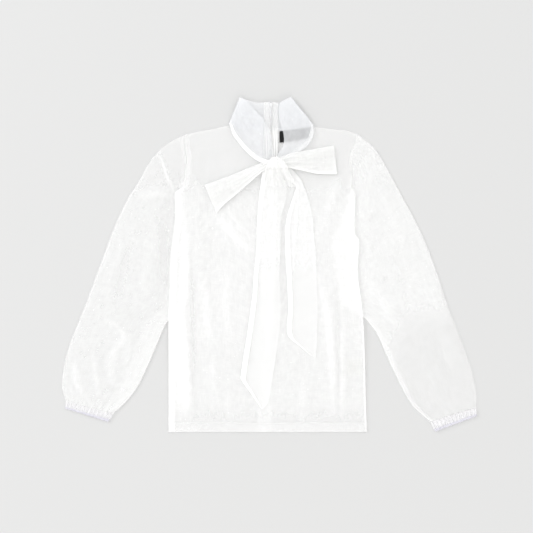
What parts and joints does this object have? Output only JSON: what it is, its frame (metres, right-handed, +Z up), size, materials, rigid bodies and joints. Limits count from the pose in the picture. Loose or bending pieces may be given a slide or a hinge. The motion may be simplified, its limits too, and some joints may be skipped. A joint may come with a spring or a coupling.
{
  "type": "tie neck blouse",
  "caption": "Sheer long-sleeved blouse laid flat, with a tie collar knotted in a bow, gathered sleeves with elastic cuffs and a zip at the centre back.",
  "frame": {"origin": "centre of the bounding box in plan, at the surface the blouse lies on", "axes": "+Z up out of the surface, +Y from the hem to the collar, +X to the right in a view of the front"},
  "size_m": [0.8792, 0.711, 0.018],
  "materials": {
    "organza": "sheer, crisp, slightly crinkled",
    "elastic": "narrow covered elastic",
    "zip_tape": "woven tape",
    "zip_coil": "moulded coil",
    "zip_metal": "white enamel",
    "black_label": "plain woven satin",
    "white_label": "plain woven satin"
  },
  "bodies": {
    "blouse": {"front_panel": "organza", "back_left": "organza", "back_right": "organza", "sleeve_left": "organza", "sleeve_right": "organza", "cuff_left": "elastic", "cuff_right": "elastic", "collar_left": "organza", "collar_right": "organza", "bow_loop_left": "organza", "bow_loop_right": "organza", "bow_knot": "organza", "tie_tail_left": "organza", "tie_tail_right": "organza", "zip_tape_left": "zip_tape", "zip_tape_right": "zip_tape", "zip_coil": "zip_coil", "zip_slider": "zip_metal", "neck_label": "black_label", "care_label": "white_label"},
    "pull": {"zip_pull": "zip_metal"}
  },
  "joints": [
    {"name": "zip_pull_hinge", "type": "hinge", "parent": "blouse", "child": "pull", "pos_m": [0.0029, 0.3377, 0.0022], "axis": [1, 0, 0], "range_deg": [0, 150]}
  ]
}
